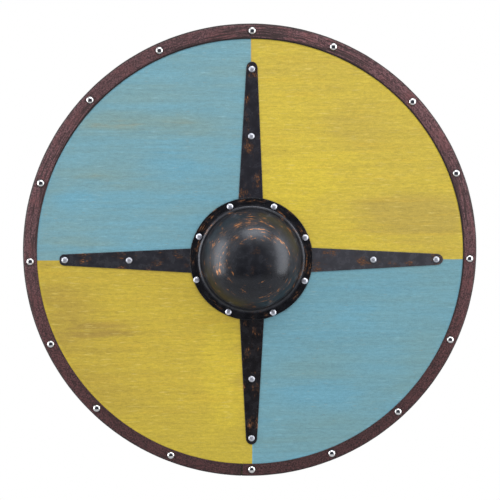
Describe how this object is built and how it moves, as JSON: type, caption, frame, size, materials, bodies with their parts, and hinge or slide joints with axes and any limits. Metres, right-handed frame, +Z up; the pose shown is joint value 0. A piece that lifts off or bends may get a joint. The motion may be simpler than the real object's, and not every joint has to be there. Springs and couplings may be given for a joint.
{
  "type": "round shield",
  "caption": "Round centre-grip shield: quartered painted disc with riveted leather edging, domed steel boss over the hand hole, tapered steel arms and a leather-wrapped wooden grip.",
  "frame": {"origin": "middle of the hand grip, on the axis of the boss", "axes": "the shield stands upright and faces -Y; +Z is up along the grip, and +X is to the right of someone who looks at its front"},
  "size_m": [0.61, 0.0948, 0.61],
  "materials": {
    "board_paint": "plywood brushed in thin matt paint in quarters, sky blue at the upper left and lower right, mustard yellow at the upper right and lower left, with grain and worn streaks showing through",
    "edging_leather": "dark reddish brown hide with a fine mottled grain, darker at its cut edges, satin",
    "boss_steel": "blackened satin steel, rubbed through to brown and copper on the flange and round the crown",
    "arm_steel": "blackened satin steel with rubbed brown and copper patches",
    "rivet_chrome": "polished chrome plate",
    "rivet_aluminium": "satin aluminium",
    "washer_zinc": "dull zinc plate",
    "grip_wood": "oiled hardwood with a straight grain",
    "wrap_leather": "dark brown leather, wound on as a strip"
  },
  "bodies": {
    "root": {"board": "board_paint", "rim_edging": "edging_leather", "boss": "boss_steel", "hand_grip": "grip_wood", "grip_wrap": "wrap_leather", "rim_rivet_1": "rivet_chrome", "rim_rivet_2": "rivet_chrome", "rim_rivet_3": "rivet_chrome", "rim_rivet_4": "rivet_chrome", "rim_rivet_5": "rivet_chrome", "rim_rivet_6": "rivet_chrome", "rim_rivet_7": "rivet_chrome", "rim_rivet_8": "rivet_chrome", "rim_rivet_9": "rivet_chrome", "rim_rivet_10": "rivet_chrome", "rim_rivet_11": "rivet_chrome", "rim_rivet_12": "rivet_chrome", "rim_rivet_13": "rivet_chrome", "rim_rivet_14": "rivet_chrome", "rim_rivet_15": "rivet_chrome", "rim_rivet_16": "rivet_chrome", "boss_rivet_1": "rivet_aluminium", "boss_rivet_2": "rivet_aluminium", "boss_rivet_3": "rivet_aluminium", "boss_rivet_4": "rivet_aluminium", "boss_rivet_5": "rivet_aluminium", "boss_rivet_6": "rivet_aluminium", "boss_rivet_7": "rivet_aluminium", "boss_rivet_8": "rivet_aluminium", "boss_washer_1": "washer_zinc", "boss_washer_2": "washer_zinc", "boss_washer_3": "washer_zinc", "boss_washer_4": "washer_zinc", "boss_washer_5": "washer_zinc", "boss_washer_6": "washer_zinc", "boss_washer_7": "washer_zinc", "boss_washer_8": "washer_zinc", "arm_top": "arm_steel", "arm_right": "arm_steel", "arm_bottom": "arm_steel", "arm_left": "arm_steel", "arm_rivet_top_inner": "rivet_aluminium", "arm_rivet_top_outer": "rivet_aluminium", "arm_rivet_right_inner": "rivet_aluminium", "arm_rivet_right_outer": "rivet_aluminium", "arm_rivet_bottom_inner": "rivet_aluminium", "arm_rivet_bottom_outer": "rivet_aluminium", "arm_rivet_left_inner": "rivet_aluminium", "arm_rivet_left_outer": "rivet_aluminium", "arm_washer_top_inner": "washer_zinc", "arm_washer_top_outer": "washer_zinc", "arm_washer_right_inner": "washer_zinc", "arm_washer_right_outer": "washer_zinc", "arm_washer_bottom_inner": "washer_zinc", "arm_washer_bottom_outer": "washer_zinc", "arm_washer_left_inner": "washer_zinc", "arm_washer_left_outer": "washer_zinc"}
  },
  "joints": []
}
